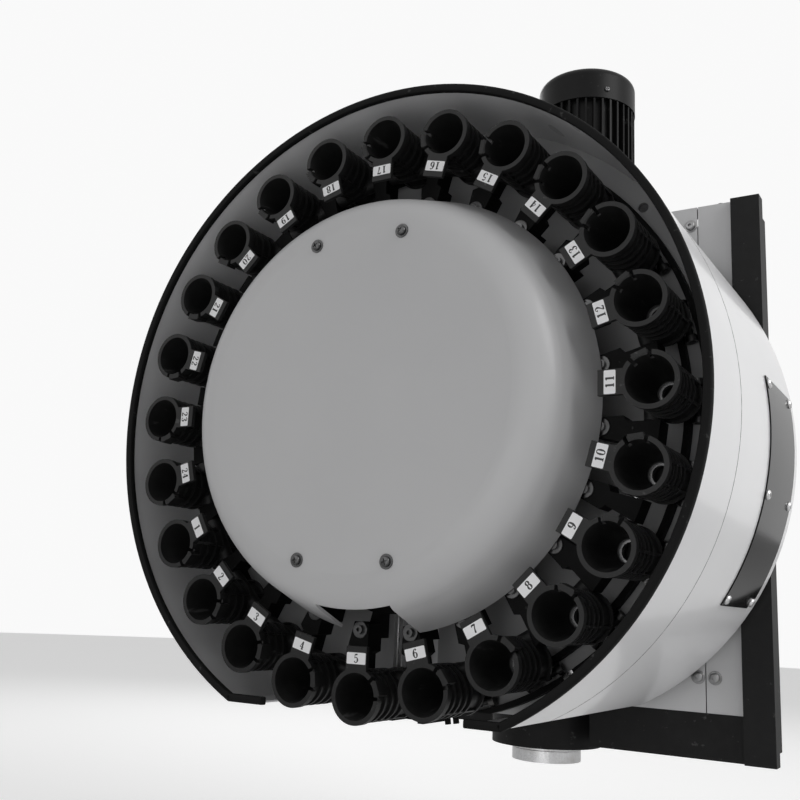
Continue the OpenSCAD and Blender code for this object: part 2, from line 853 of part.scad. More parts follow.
module flip_piston() color("silver") from_face() {
  rod_z(rod_r, ear_z1 - fork_hold + seat, piston_z + over, y = rod_y_pos);
  rod_z(piston_r, piston_z, piston_z + piston_t, y = rod_y_pos);
}

// Support behind the drum

tube_r = 62;
tube_wall = 14;
flange_r = 110;
flange_t = 30;
spindle_seat = 45;
rib_half = 10;
rib_end = 230;
rib_depth = 60;
pad_x0 = 200;
pad_half = 60;
pad_t = 20;
module support_casting() color([0.2, 0.2, 0.2]) from_face() {
  difference() {
    union() {
      rod_y(tube_r, plate_back + seat, box_y0);
      rod_y(flange_r, box_y0 - flange_t, box_y0);
      for (s = [0, 1])
        mirror([s, 0, 0]) {
          box([tube_r - cylinder_wall, plate_back + seat, -rib_half],
              [rib_end, plate_back + rib_depth, rib_half]);
          box([pad_x0, plate_back + seat, -pad_half], [rib_end, plate_back + pad_t, pad_half]);
        }
    }
    rod_y(spindle_r + seat_gap, plate_y, plate_back + spindle_seat);
    rod_y(tube_r - tube_wall, plate_back + spindle_seat + tube_wall, box_y0 - tube_wall);
  }
}

box_half = 130;
box_wall = 16;
box_z0 = -300;
box_z1 = 430;
box_back = box_y1 - seat;
neck_r = (box_y1 - box_y0) / 2;
neck_z = -410;
neck_flange_z = -318;
neck_flange = 12;
quill_r = 52;
quill_lip = 6;
quill_hold = 60;
quill_top = neck_z + arm_stroke + quill_hold;
boss_top = quill_top + quill_lip;
plug_r = 30;
plug_gap = 2;
plug_len = 24;
arm_axis_r = 34;
module cam_box() color([0.16, 0.16, 0.16]) from_face() {
  difference() {
    union() {
      box([-box_half, box_y0 + seat, box_z0], [box_half, box_back, box_z1]);
      intersection() {
        union() {
          rod_z(neck_r, neck_z, box_z0 + over, y = arm_y);
          rod_z(neck_r + neck_flange, neck_flange_z, box_z0 + over, y = arm_y);
        }
        box([-box_half, box_y0 + seat, neck_z - over], [box_half, box_back, box_z1]);
      }
    }
    difference() {
      box([-box_half + box_wall, box_y0 + box_wall, box_z0 + box_wall],
          [box_half - box_wall, box_back - box_wall, box_z1 - box_wall]);
      rod_z(quill_r + box_wall - 2 * over, box_z0, boss_top, y = arm_y);
    }
    rod_z(quill_r + run_gap, neck_z - over, boss_top + over, y = arm_y);
    rod_z(plug_r + plug_gap, box_z1 - plug_len - over, box_z1 + over, x = motor_x, y = arm_y);
  }
}

module arm_quill() color("silver") from_face() {
  difference() {
    rod_z(quill_r, neck_z - quill_lip, quill_top, y = arm_y);
    rod_z(arm_axis_r + run_gap, neck_z - quill_lip - over, quill_top + over, y = arm_y);
  }
}

arm_flange_r = 50;
arm_flange_t = 16;
arm_bolt_pcd = 76;
arm_bolt_r = 4.2;
arm_face_z = neck_z - quill_lip - over - arm_flange_t;
module arm_spindle() color("lightgray") from_face() {
  difference() {
    union() {
      rod_z(arm_axis_r, arm_face_z + arm_flange_t - over, quill_top - over, y = arm_y);
      rod_z(arm_flange_r, arm_face_z, arm_face_z + arm_flange_t, y = arm_y);
    }
    for (a = [0:60:300])
      translate([0, arm_y, 0])
        rotate([0, 0, a])
          rod_z(arm_bolt_r, arm_face_z - over, arm_face_z + arm_flange_t + over, x = arm_bolt_pcd / 2);
  }
}

motor_r = 68;
motor_base_half = 72;
motor_base_t = 14;
cowl_z = 577;
cowl_wall = 2.5;
cowl_top_t = 8;
cowl_round = 14;
cowl_web = 5;
fin_out_r = cowl_r - over;
fin_half = 1.5;
fin_up = 20;
fin_z0 = box_z1 + fin_up;
fin_step = 10;
module arm_motor() color([0.06, 0.06, 0.06]) from_face() {
  rod_z(motor_r, box_z1 + motor_base_t - over, cowl_z + 4 * cowl_web, x = motor_x, y = arm_y);
  box([motor_x - motor_base_half, arm_y - motor_base_half, box_z1 + seat],
      [motor_x + motor_base_half, arm_y + motor_base_half, box_z1 + motor_base_t]);
  rod_z(plug_r, box_z1 - plug_len, box_z1 + over, x = motor_x, y = arm_y);
  for (a = [0:fin_step:360 - fin_step])
    translate([motor_x, arm_y, 0])
      rotate([0, 0, a])
        box([motor_r - over, -fin_half, fin_z0], [fin_out_r, fin_half, cowl_z - over]);
}

module fan_cowl() color([0.06, 0.06, 0.06]) from_face() {
  translate([motor_x, arm_y, 0]) {
    difference() {
      union() {
        rod_z(cowl_r, cowl_z, motor_top - cowl_round);
        translate([0, 0, motor_top - cowl_round])
          rotate_extrude() {
            intersection() {
              translate([cowl_r - cowl_round, 0])
                circle(r = cowl_round);
              square([cowl_r, cowl_round]);
            }
            square([cowl_r - cowl_round, cowl_round]);
          }
      }
      rod_z(cowl_r - cowl_wall, cowl_z - over, motor_top - cowl_top_t);
    }
    difference() {
      rod_z(cowl_r - cowl_wall / 2, cowl_z + over, cowl_z + over + cowl_web);
      rod_z(motor_r + seat_gap, cowl_z, cowl_z + cowl_web + 2 * over);
    }
  }
}

// Bracket that carries the magazine and bolts to the column

back_x0 = -200;
back_z0 = -400;
back_z1 = 393;
side_y0 = box_y0;
web_t = 30;
beam_z1 = -342;
beam_x0 = 92;
beam_in = 12;
column_bolt_x = 300;
column_bolt_z = 600;
column_bolt_r = 8.5;
panel_y = side_y0 + beam_in;
panel_t = 2;
panel_top = 362;
rib_y0 = panel_y + panel_t + loose;
flange_out = 11;
flange_x0 = web_x - flange_out;
flange_w = 39;
flange_deep = 22;
module mounting_bracket() color([0.13, 0.13, 0.13]) from_face() {
  difference() {
    union() {
      box([back_x0, mount_depth - bracket_t, back_z0], [web_x, mount_depth, back_z1]);
      box([web_x - web_t, rib_y0, back_z0], [web_x, mount_depth, panel_top - panel_t - loose]);
      box([flange_x0, side_y0, back_z0], [flange_x0 + flange_w, side_y0 + flange_deep, panel_top]);
      box([beam_x0, side_y0 + beam_in, back_z0], [web_x, mount_depth, beam_z1]);
    }
    for (sx = [-1, 1], sz = [-1, 1])
      rod_y(column_bolt_r, mount_depth - bracket_t - over, mount_depth + over,
            x = sx * column_bolt_x / 2, z = sz * column_bolt_z / 2);
  }
}

seam_x = 252;
seam_half = 0.7;
panel_fold = 40;
panel_gap = 12;
panel_x0 = box_half + panel_gap;
panel_hole_r = 3.2;
panel_hole_up = 45;
panel_hole_low = beam_z1 + panel_hole_up;
panel_holes = [[seam_x - 10, panel_hole_low],
               [seam_x + 12, panel_hole_low],
               [seam_x - 10, panel_top - 28]];
module cover_panels() color("gainsboro") from_face() {
  for (side = [[panel_x0, seam_x - seam_half], [seam_x + seam_half, flange_x0 - loose]])
    difference() {
      union() {
        box([side[0], panel_y, beam_z1 + loose], [side[1], panel_y + panel_t, panel_top]);
        box([side[0], panel_y, panel_top - panel_t], [side[1], panel_y + panel_fold, panel_top]);
      }
      for (hole = panel_holes)
        rod_y(panel_hole_r, panel_y - over, panel_y + panel_t + over, x = hole[0], z = hole[1]);
    }
}

front_shell();
rear_shell();
edge_trim();
partition_plate();
guide_rings();
side_strip();
strip_screws();
centre_cover();
cover_screws();
cover_carrier();
spindle();
hub_bearings();
disc();
pot_brackets();
pivot_pins();
bracket_screws();
disc_gear();
pinion();
index_motor();
tail_rollers();
tail_rollers_5();
grip_rings();
grip_ring_5();
flip_fork();
flip_frame();
guide_rods();
flip_cylinder();
flip_piston();
support_casting();
cam_box();
arm_quill();
arm_spindle();
arm_motor();
fan_cowl();
mounting_bracket();
cover_panels();
for (k = [1:pot_count])
  pot(k);
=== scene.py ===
import json
import math

import bmesh
import bpy
from mathutils import Matrix, Vector


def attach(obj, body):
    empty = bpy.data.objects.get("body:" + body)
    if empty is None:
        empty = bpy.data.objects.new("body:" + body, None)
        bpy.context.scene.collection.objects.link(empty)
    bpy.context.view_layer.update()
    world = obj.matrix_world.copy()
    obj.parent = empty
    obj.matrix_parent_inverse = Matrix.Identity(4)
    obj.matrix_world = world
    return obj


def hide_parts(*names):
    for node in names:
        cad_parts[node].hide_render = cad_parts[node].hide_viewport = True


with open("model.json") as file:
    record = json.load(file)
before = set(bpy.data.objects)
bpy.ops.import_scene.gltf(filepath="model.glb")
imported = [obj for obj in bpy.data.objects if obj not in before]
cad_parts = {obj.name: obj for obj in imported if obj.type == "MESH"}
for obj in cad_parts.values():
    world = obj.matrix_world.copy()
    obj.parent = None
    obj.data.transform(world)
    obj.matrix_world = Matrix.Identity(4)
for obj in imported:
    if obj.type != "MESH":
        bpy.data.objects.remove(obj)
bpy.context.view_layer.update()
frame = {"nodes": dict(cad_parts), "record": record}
nodes = frame["nodes"]
record = frame["record"]
print("frame loaded:", len(nodes), "nodes")

# Pieces are placed in millimetres from the drum's axis and the plane of the pot mouths
mm = 0.001
mouthPlane = -0.624      # its place along Y, in metres
wallRadius = 378.0       # outside of the drum's wall
bottomCut = 337.0        # from the axis down to the drum's flat bottom
armDepth = 520.0         # axis of the arm drive and its motor
potCount = 24
changePot = 5
pitch = math.tau / potCount
discBody = "magazine_disc"
changeBody = "change_pot"


def drum(x, y, z):
    return Vector((x * mm, mouthPlane + y * mm, z * mm))


def upright(x, y, z):
    return Matrix.Translation(drum(x, y, z))


towardsFront = Matrix.Rotation(math.radians(90), 4, "X")
towardsRight = Matrix.Rotation(math.radians(90), 4, "Y")
towardsLeft = Matrix.Rotation(math.radians(-90), 4, "Y")
towardsGround = Matrix.Rotation(math.radians(180), 4, "X")


def onFront(x, y, z, spin=0.0):
    return upright(x, y, z) @ towardsFront @ Matrix.Rotation(math.radians(spin), 4, "Z")


# Turns round the drum's axis: to a pot's place, or by an angle from the right or the bottom
def potTurn(k):
    return Matrix.Rotation(-(k - changePot) * pitch, 4, "Y")


def roundDrum(angle):
    return Matrix.Rotation(-math.radians(angle), 4, "Y")


# Camera, light and stage

camera = {
    "place": (0.6032, -1.5338, -0.2263),
    "right": (0.854, 0.518, 0.045),
    "look": (-0.515, 0.832, 0.206),
    "lens": 44.51, "sensor": 36, "near": 0.05, "far": 50,
}


def addCamera():
    data = bpy.data.cameras.new("camera")
    data.sensor_width = camera["sensor"]
    data.lens = camera["lens"]
    data.clip_start = camera["near"]
    data.clip_end = camera["far"]
    back = -Vector(camera["look"]).normalized()
    up = back.cross(Vector(camera["right"])).normalized()
    turn = Matrix((up.cross(back), up, back)).transposed().to_4x4()
    cam = bpy.data.objects.new("camera", data)
    cam.matrix_world = Matrix.Translation(camera["place"]) @ turn
    bpy.context.collection.objects.link(cam)
    bpy.context.scene.camera = cam


addCamera()
bpy.context.scene.view_settings.view_transform = "Standard"

lamps = {
    "key": {"place": (2.6, -0.6, 1.6), "size": 1.8, "power": 44},
    "front": {"place": (-0.6, -2.8, 0.9), "size": 2.4, "power": 7},
    "low": {"place": (0.3, -1.8, -0.5), "size": 1.2, "power": 4},
    "rear": {"place": (-1.6, 1.8, 1.6), "size": 2.0, "power": 22},
}
lightAim = Vector((0, -0.45, 0))


def addLamps():
    for name, lamp in lamps.items():
        data = bpy.data.lights.new(name, "AREA")
        data.shape = "DISK"
        data.size = lamp["size"]
        data.energy = lamp["power"]
        light = bpy.data.objects.new(name, data)
        light.location = lamp["place"]
        light.rotation_mode = "QUATERNION"
        light.rotation_quaternion = (lightAim - light.location).to_track_quat("-Z", "Y")
        bpy.context.collection.objects.link(light)


sky = {"light": 0.30, "seen": 0.95}


# White to the camera and in reflections, and a plain level of light to everything else
def addWorld():
    world = bpy.data.worlds.new("studio")
    bpy.context.scene.world = world
    world.use_nodes = True
    tree = world.node_tree
    tree.nodes.clear()
    path = tree.nodes.new("ShaderNodeLightPath")
    seen = calc(tree, "MAXIMUM", path.outputs["Is Camera Ray"], path.outputs["Is Glossy Ray"])
    seen = calc(tree, "MAXIMUM", seen, path.outputs["Is Transmission Ray"])
    background = tree.nodes.new("ShaderNodeBackground")
    background.inputs["Color"].default_value = (1, 1, 1, 1)
    tree.links.new(ramp(tree, seen, 0.0, 1.0, sky["light"], sky["seen"]), background.inputs["Strength"])
    out = tree.nodes.new("ShaderNodeOutputWorld")
    tree.links.new(background.outputs["Background"], out.inputs["Surface"])


ground = {"level": -0.62, "reach": 9.0, "sides": 64, "color": 0.9, "rough": 0.9, "lift": 0.3}


# Pale from above, a little lighter to the camera, and clear where it is seen from below
def floorMaterial():
    mat = bpy.data.materials.new("paleFloor")
    mat.use_nodes = True
    tree = mat.node_tree
    skin = tree.nodes["Principled BSDF"]
    level = ground["color"]
    skin.inputs["Base Color"].default_value = (level, level, level, 1)
    skin.inputs["Roughness"].default_value = ground["rough"]
    skin.inputs["Emission Color"].default_value = (1, 1, 1, 1)
    path = tree.nodes.new("ShaderNodeLightPath")
    lift = calc(tree, "MULTIPLY", path.outputs["Is Camera Ray"], ground["lift"])
    tree.links.new(lift, skin.inputs["Emission Strength"])
    side = tree.nodes.new("ShaderNodeNewGeometry")
    clear = tree.nodes.new("ShaderNodeBsdfTransparent")
    either = tree.nodes.new("ShaderNodeMixShader")
    tree.links.new(side.outputs["Backfacing"], either.inputs[0])
    tree.links.new(skin.outputs[0], either.inputs[1])
    tree.links.new(clear.outputs[0], either.inputs[2])
    tree.links.new(either.outputs[0], tree.nodes["Material Output"].inputs["Surface"])
    return mat


def addFloor():
    bm = bmesh.new()
    bmesh.ops.create_circle(bm, cap_ends=True, segments=ground["sides"], radius=ground["reach"],
                            matrix=Matrix.Translation((0, 0, ground["level"])))
    mesh = bpy.data.meshes.new("floor")
    bm.to_mesh(mesh)
    bm.free()
    floor = bpy.data.objects.new("floor", mesh)
    bpy.context.collection.objects.link(floor)
    mesh.materials.append(floorMaterial())


# Shader nodes

def calc(tree, kind, a, b, clamp=False):
    node = tree.nodes.new("ShaderNodeMath")
    node.operation = kind
    node.use_clamp = clamp
    for socket, value in zip(node.inputs, (a, b)):
        if isinstance(value, (int, float)):
            socket.default_value = value
        else:
            tree.links.new(value, socket)
    return node.outputs[0]


# Blends two colours by a kind and an amount, each a socket or a plain value
def blendColor(tree, kind, amount, a, b):
    node = tree.nodes.new("ShaderNodeMix")
    node.data_type = "RGBA"
    node.blend_type = kind
    for socket, value in zip((node.inputs[0], node.inputs[6], node.inputs[7]), (amount, a, b)):
        if hasattr(value, "node"):
            tree.links.new(value, socket)
        else:
            socket.default_value = value
    return node.outputs[2]


def noise(tree, place, scale, detail=2.0, rough=0.5):
    node = tree.nodes.new("ShaderNodeTexNoise")
    node.inputs["Detail"].default_value = detail
    node.inputs["Roughness"].default_value = rough
    if isinstance(scale, (int, float)):
        node.inputs["Scale"].default_value = scale
    else:
        tree.links.new(scale, node.inputs["Scale"])
    tree.links.new(place, node.inputs["Vector"])
    return node.outputs["Fac"]


# Maps the range from low to high onto another range, and clamps it there
def ramp(tree, value, low, high, to0=0.0, to1=1.0):
    node = tree.nodes.new("ShaderNodeMapRange")
    node.inputs["From Min"].default_value = low
    node.inputs["From Max"].default_value = high
    node.inputs["To Min"].default_value = to0
    node.inputs["To Max"].default_value = to1
    tree.links.new(value, node.inputs["Value"])
    return node.outputs["Result"]


def stretched(tree, place, scale):
    node = tree.nodes.new("ShaderNodeMapping")
    node.inputs["Scale"].default_value = scale
    tree.links.new(place, node.inputs["Vector"])
    return node.outputs["Vector"]


# Shader groups: each takes a colour, a roughness and a scale, and puts them out varied over the surface

number = "NodeSocketFloat"
tint = "NodeSocketColor"


def newGroup(name, scale, *extra):
    tree = bpy.data.node_groups.new(name, "ShaderNodeTree")
    taken = [("Color", tint, (0.5, 0.5, 0.5, 1)), ("Rough", number, 0.5), ("Scale", number, scale), *extra]
    for label, kind, value in taken:
        socket = tree.interface.new_socket(label, in_out="INPUT", socket_type=kind)
        socket.default_value = value
    for label, kind in (("Color", tint), ("Roughness", number), ("Height", number)):
        tree.interface.new_socket(label, in_out="OUTPUT", socket_type=kind)
    start = tree.nodes.new("NodeGroupInput").outputs
    place = tree.nodes.new("ShaderNodeTexCoord").outputs["Object"]
    return tree, start, place


def closeGroup(tree, shade, rough, height):
    end = tree.nodes.new("NodeGroupOutput").inputs
    for label, value in (("Color", shade), ("Roughness", rough), ("Height", height)):
        tree.links.new(value, end[label])
    return tree


sprayed = {"scale": 420, "clouds": 3.5, "cloudTint": (0.93, 0.93, 0.935, 1),
           "specks": 170, "speckTint": (0.3, 0.3, 0.3, 1), "speckShare": 0.04,
           "wipes": (4, 4, 11), "gloss": (-0.03, 0.05)}


# Sprayed paint: slow clouds in the colour, orange peel in the height, wiped patches in the gloss
def paintGroup():
    tree, start, place = newGroup("sprayedPaint", sprayed["scale"])
    clouds = ramp(tree, noise(tree, place, sprayed["clouds"], 3), 0.3, 0.7)
    shade = blendColor(tree, "MULTIPLY", clouds, start["Color"], sprayed["cloudTint"])
    specks = ramp(tree, noise(tree, place, sprayed["specks"], 2), 0.70, 0.76)
    share = calc(tree, "MULTIPLY", specks, sprayed["speckShare"])
    shade = blendColor(tree, "MIX", share, shade, sprayed["speckTint"])
    patches = noise(tree, stretched(tree, place, sprayed["wipes"]), 1.0)
    wiped = ramp(tree, patches, 0.3, 0.7, *sprayed["gloss"])
    rough = calc(tree, "ADD", start["Rough"], wiped, True)
    return closeGroup(tree, shade, rough, noise(tree, place, start["Scale"], 2, 0.45))


moulded = {"scale": 900, "patches": 38, "dust": 0.2, "dustTint": (0.34, 0.34, 0.335, 1), "dustRough": 0.5,
           "scuffs": (90, 14, 90), "scuffTint": (0.42, 0.42, 0.42, 1), "scuffShare": 0.10}


# Moulded or cast black: fine grain, with pale dust where the surface looks up and in patches
def grainGroup():
    tree, start, place = newGroup("mouldedGrain", moulded["scale"], ("Dust", number, moulded["dust"]))
    split = tree.nodes.new("ShaderNodeSeparateXYZ")
    tree.links.new(tree.nodes.new("ShaderNodeNewGeometry").outputs["Normal"], split.inputs[0])
    faceUp = ramp(tree, split.outputs["Z"], 0.0, 0.9, 0.25, 1.0)
    patches = ramp(tree, noise(tree, place, moulded["patches"], 5, 0.65), 0.42, 0.72)
    dust = calc(tree, "MULTIPLY", calc(tree, "MULTIPLY", faceUp, patches), start["Dust"])
    shade = blendColor(tree, "MIX", dust, start["Color"], moulded["dustTint"])
    scuffs = noise(tree, stretched(tree, place, moulded["scuffs"]), 1.0, 3, 0.6)
    scuff = calc(tree, "MULTIPLY", ramp(tree, scuffs, 0.66, 0.74), moulded["scuffShare"])
    shade = blendColor(tree, "MIX", scuff, shade, moulded["scuffTint"])
    rough = calc(tree, "ADD", start["Rough"], calc(tree, "MULTIPLY", dust, moulded["dustRough"]), True)
    return closeGroup(tree, shade, rough, noise(tree, place, start["Scale"], 3, 0.55))


turnedMetal = {"scale": 1.0, "lines": (60, 1800, 60), "lineGloss": (-0.08, 0.10),
               "stains": 45, "stainTint": (0.78, 0.76, 0.73, 1), "stainRough": 0.12}


# Turned or ground metal: fine lines across the part's long way, and slow changes of gloss
def metalGroup():
    tree, start, place = newGroup("groundMetal", turnedMetal["scale"])
    lines = noise(tree, stretched(tree, place, turnedMetal["lines"]), start["Scale"])
    stain = ramp(tree, noise(tree, place, turnedMetal["stains"], 4, 0.6), 0.5, 0.78)
    shade = blendColor(tree, "MULTIPLY", stain, start["Color"], turnedMetal["stainTint"])
    rough = calc(tree, "ADD", start["Rough"], ramp(tree, lines, 0.3, 0.7, *turnedMetal["lineGloss"]), True)
    rough = calc(tree, "ADD", rough, calc(tree, "MULTIPLY", stain, turnedMetal["stainRough"]), True)
    return closeGroup(tree, shade, rough, lines)


groups = {"paint": paintGroup(), "grain": grainGroup(), "metal": metalGroup()}

# What each finish takes: its group, the values it hands in, and the constants of its shader
finishes = {
    "shellPaint": {"group": "paint", "color": 0.74, "rough": 0.30, "bump": 0.03, "coat": 0.35},
    # The centre cover's finish: the shell's white paint darkened as painted shade, for the shade the cover
    # stands in
    "coverPaintShaded": {"group": "paint", "color": 0.46, "rough": 0.46, "bump": 0.04, "coat": 0.1},
    "panelPaint": {"group": "paint", "color": 0.52, "rough": 0.42, "bump": 0.04, "coat": 0.1},
    "platePaint": {"group": "paint", "color": 0.34, "rough": 0.48, "bump": 0.04},
    "smokedStrip": {"group": "paint", "color": 0.010, "rough": 0.10, "bump": 0.01, "shine": 0.06},
    "labelWhite": {"group": "paint", "color": 0.80, "rough": 0.50, "bump": 0.01},
    "trimRubber": {"group": "grain", "color": 0.006, "rough": 0.7, "scale": 1500, "bump": 0.1, "dust": 0.01,
                   "shine": 0.1},
    "potPlastic": {"group": "grain", "color": 0.008, "rough": 0.44, "scale": 1300, "bump": 0.06, "dust": 0.05,
                   "shine": 0.24},
    "blackPaint": {"group": "grain", "color": 0.005, "rough": 0.5, "scale": 700, "bump": 0.14, "dust": 0.012,
                   "shine": 0.06},
    "motorPaint": {"group": "grain", "color": 0.006, "rough": 0.40, "scale": 520, "bump": 0.10, "dust": 0.015,
                   "shine": 0.12},
    "castPaint": {"group": "grain", "color": 0.012, "rough": 0.52, "scale": 260, "bump": 0.30, "dust": 0.04,
                  "shine": 0.12},
    "seamShadow": {"group": "grain", "color": 0.12, "rough": 0.7, "scale": 900, "bump": 0.02, "dust": 0.0,
                   "shine": 0.1},
    "labelInk": {"group": "grain", "color": 0.010, "rough": 0.50, "scale": 1500, "bump": 0.02, "dust": 0.0},
    "groundSteel": {"group": "metal", "color": 0.60, "rough": 0.30, "bump": 0.05, "metal": 1.0},
    # The grip rings' finish: ground steel darkened as painted shade, for their place deep inside the pots
    "gripSteelShaded": {"group": "metal", "color": 0.32, "rough": 0.24, "bump": 0.04, "metal": 1.0},
    "brightZinc": {"group": "metal", "color": 0.62, "rough": 0.28, "bump": 0.04, "metal": 1.0},
    "blackZinc": {"group": "metal", "color": 0.09, "rough": 0.30, "bump": 0.04, "metal": 1.0},
    "dullZinc": {"group": "metal", "color": 0.26, "rough": 0.36, "bump": 0.04, "metal": 1.0},
    "anodised": {"group": "metal", "color": 0.58, "rough": 0.36, "bump": 0.04, "metal": 1.0},
}
shared = {"blue": 1.01, "bumpReach": 0.0004, "coatRough": 0.08, "shine": 0.5}
made = {}


def finish(name):
    if name in made:
        return made[name]
    spec = finishes[name]
    mat = bpy.data.materials.new(name)
    mat.use_nodes = True
    tree = mat.node_tree
    skin = tree.nodes["Principled BSDF"]
    effect = tree.nodes.new("ShaderNodeGroup")
    effect.node_tree = groups[spec["group"]]
    level = spec["color"]
    effect.inputs["Color"].default_value = (level, level, level * shared["blue"], 1)
    effect.inputs["Rough"].default_value = spec["rough"]
    if "scale" in spec:
        effect.inputs["Scale"].default_value = spec["scale"]
    if "dust" in spec:
        effect.inputs["Dust"].default_value = spec["dust"]
    bump = tree.nodes.new("ShaderNodeBump")
    bump.inputs["Strength"].default_value = spec["bump"]
    bump.inputs["Distance"].default_value = shared["bumpReach"]
    skin.inputs["Metallic"].default_value = spec.get("metal", 0.0)
    skin.inputs["Coat Weight"].default_value = spec.get("coat", 0.0)
    skin.inputs["Coat Roughness"].default_value = shared["coatRough"]
    skin.inputs["Specular IOR Level"].default_value = spec.get("shine", shared["shine"])
    tree.links.new(effect.outputs["Color"], skin.inputs["Base Color"])
    tree.links.new(effect.outputs["Roughness"], skin.inputs["Roughness"])
    tree.links.new(effect.outputs["Height"], bump.inputs["Height"])
    tree.links.new(bump.outputs["Normal"], skin.inputs["Normal"])
    made[name] = mat
    return mat


addWorld()
addLamps()
addFloor()
print("studio ready")

# Finishes of the carried-over nodes, by their material slot, and those of single nodes

slotFinish = {
    "white_paint": "shellPaint", "grey_white_paint": "panelPaint", "grey_paint": "platePaint",
    "black_rubber": "trimRubber", "black_paint": "blackPaint", "motor_black": "motorPaint",
    "black_plastic": "potPlastic", "smoked_plastic": "smokedStrip", "ground_steel": "groundSteel",
    "bare_aluminium": "anodised", "zinc_screw": "brightZinc",
}
nodeFinish = {
    # The centre cover's finish is its white paint darkened as painted shade
    "centre_cover": "coverPaintShaded", "support_casting": "castPaint", "cam_box": "castPaint",
    # The grip rings' finish is ground steel darkened as painted shade
    "mounting_bracket": "castPaint", "grip_rings": "gripSteelShaded", "grip_ring_5": "gripSteelShaded",
    "bracket_screws": "blackZinc", "tail_rollers": "blackZinc", "tail_rollers_5": "blackZinc",
}
for row in record["subparts"]:
    node = row["node"]
    mat = finish(nodeFinish.get(node, slotFinish[row["material_slot"]]))
    nodes[node].data.materials.clear()
    nodes[node].data.materials.append(mat)
print("nodes finished:", len(nodes))

# Making pieces

mergeReach = 1e-6


def addPiece(name, bm, finishName, slotName, body, *replaced):
    bmesh.ops.remove_doubles(bm, verts=bm.verts, dist=mergeReach)
    bmesh.ops.recalc_face_normals(bm, faces=bm.faces)
    mesh = bpy.data.meshes.new(name)
    bm.to_mesh(mesh)
    bm.free()
    mesh.materials.append(finish(finishName))
    piece = bpy.data.objects.new(name, mesh)
    bpy.context.collection.objects.link(piece)
    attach(piece, body)
    if replaced:
        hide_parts(*replaced)
    return piece


def smooth(piece, angle=35):
    for face in piece.data.polygons:
        face.use_smooth = True
    piece.data.set_sharp_from_angle(angle=math.radians(angle))


# Joins a copy of one bmesh into another, moved by a matrix
def joinInto(bm, part, place):
    mesh = bpy.data.meshes.new("joined")
    part.to_mesh(mesh)
    mesh.transform(place)
    if place.determinant() < 0:
        mesh.flip_normals()
    bm.from_mesh(mesh)
    bpy.data.meshes.remove(mesh)


def bevelled(bm, geom, offset, segments, affect="EDGES"):
    bmesh.ops.bevel(bm, geom=geom, offset=offset * mm, offset_type="OFFSET", affect=affect,
                    segments=segments, profile=0.5, material=-1)


def block(size):
    bm = bmesh.new()
    bmesh.ops.create_cube(bm, size=1.0)
    bmesh.ops.scale(bm, verts=bm.verts, vec=Vector(size) * mm)
    return bm


# A shape turned round Z from a profile of radius and height
def turned(profile, steps):
    bm = bmesh.new()
    points = [bm.verts.new((r, 0, z)) for r, z in profile]
    edges = [bm.edges.new(pair) for pair in zip(points, points[1:])]
    bmesh.ops.spin(bm, geom=points + edges, axis=(0, 0, 1), cent=(0, 0, 0),
                   angle=math.tau, steps=steps, use_merge=True, use_duplicate=False)
    bmesh.ops.remove_doubles(bm, verts=bm.verts, dist=mergeReach / 10)
    return bm


def closedLoop(bm, points):
    loop = [bm.verts.new(point) for point in points]
    return loop, [bm.edges.new(pair) for pair in zip(loop, loop[1:] + loop[:1])]


def capEnds(bm, sides):
    bmesh.ops.holes_fill(bm, edges=[e for e in bm.edges if e.is_boundary], sides=sides)


cutAngle = math.asin(bottomCut / wallRadius)


# Sweeps a section of radius and depth round the drum's wall, from one end of the flat bottom to the other
def roundWall(bm, section, steps):
    start = Matrix.Rotation(cutAngle, 4, "Y")
    loop, edges = closedLoop(bm, [start @ drum(r, y, 0) for r, y in section])
    bmesh.ops.spin(bm, geom=loop + edges, axis=(0, -1, 0), cent=drum(0, 0, 0), steps=steps,
                   angle=math.pi + 2 * cutAngle, use_merge=False, use_duplicate=False)


# Screw heads, turned and then given their recess

headSteps = 24
recess = {"circle": 0.62, "armHalf": 12, "betweenArms": 0.42, "hexCorner": 0.713}


# How far a recess reaches at an angle, as a share of its circle
def recessReach(drive, angle):
    if drive == "cross":
        away = abs((math.degrees(angle) + 45) % 90 - 45)
        return 1.0 if away < recess["armHalf"] else recess["betweenArms"]
    away = math.radians((math.degrees(angle) + 30) % 60 - 30)
    return recess["hexCorner"] * math.cos(math.radians(30)) / math.cos(away)


# A screw's head that stands on Z = 0 and looks along +Z
def screwHead(screw):
    radius, height, deep = (screw[key] * mm for key in ("head", "high", "deep"))
    dome = screw["dome"]
    reach = radius * recess["circle"]
    bm = turned([(0, 0), (radius * 0.96, 0), (radius, height * 0.1), (radius, height * (1 - dome)),
                 (radius * 0.9, height * (1 - dome * 0.4)), (radius * 0.74, height * (1 - dome * 0.08)),
                 (reach, height), (reach, height - deep), (0, height - deep)], headSteps)
    bmesh.ops.rotate(bm, verts=bm.verts, matrix=Matrix.Rotation(math.pi / headSteps, 3, "Z"))
    for vert in bm.verts:
        if abs(math.hypot(vert.co.x, vert.co.y) - reach) < mergeReach:
            share = recessReach(screw["drive"], math.atan2(vert.co.y, vert.co.x))
            vert.co.x *= share
            vert.co.y *= share
    return bm


washerSteps = 28


def washer(size):
    radius, hole, thick = (size[key] * mm for key in ("radius", "hole", "thick"))
    edge = thick * 0.25
    return turned([(hole, 0), (radius - edge, 0), (radius, edge), (radius, thick - edge),
                   (radius - edge, thick), (hole, thick), (hole, 0)], washerSteps)


# Screws of one kind at their seats, each on its washer where it has one
def joinScrews(bm, screw, seats):
    head = screwHead(screw)
    ring = screw.get("washer")
    for seat in seats:
        if ring:
            joinInto(bm, washer(ring), seat)
            seat = seat @ Matrix.Translation((0, 0, ring["thick"] * mm))
        joinInto(bm, head, seat)


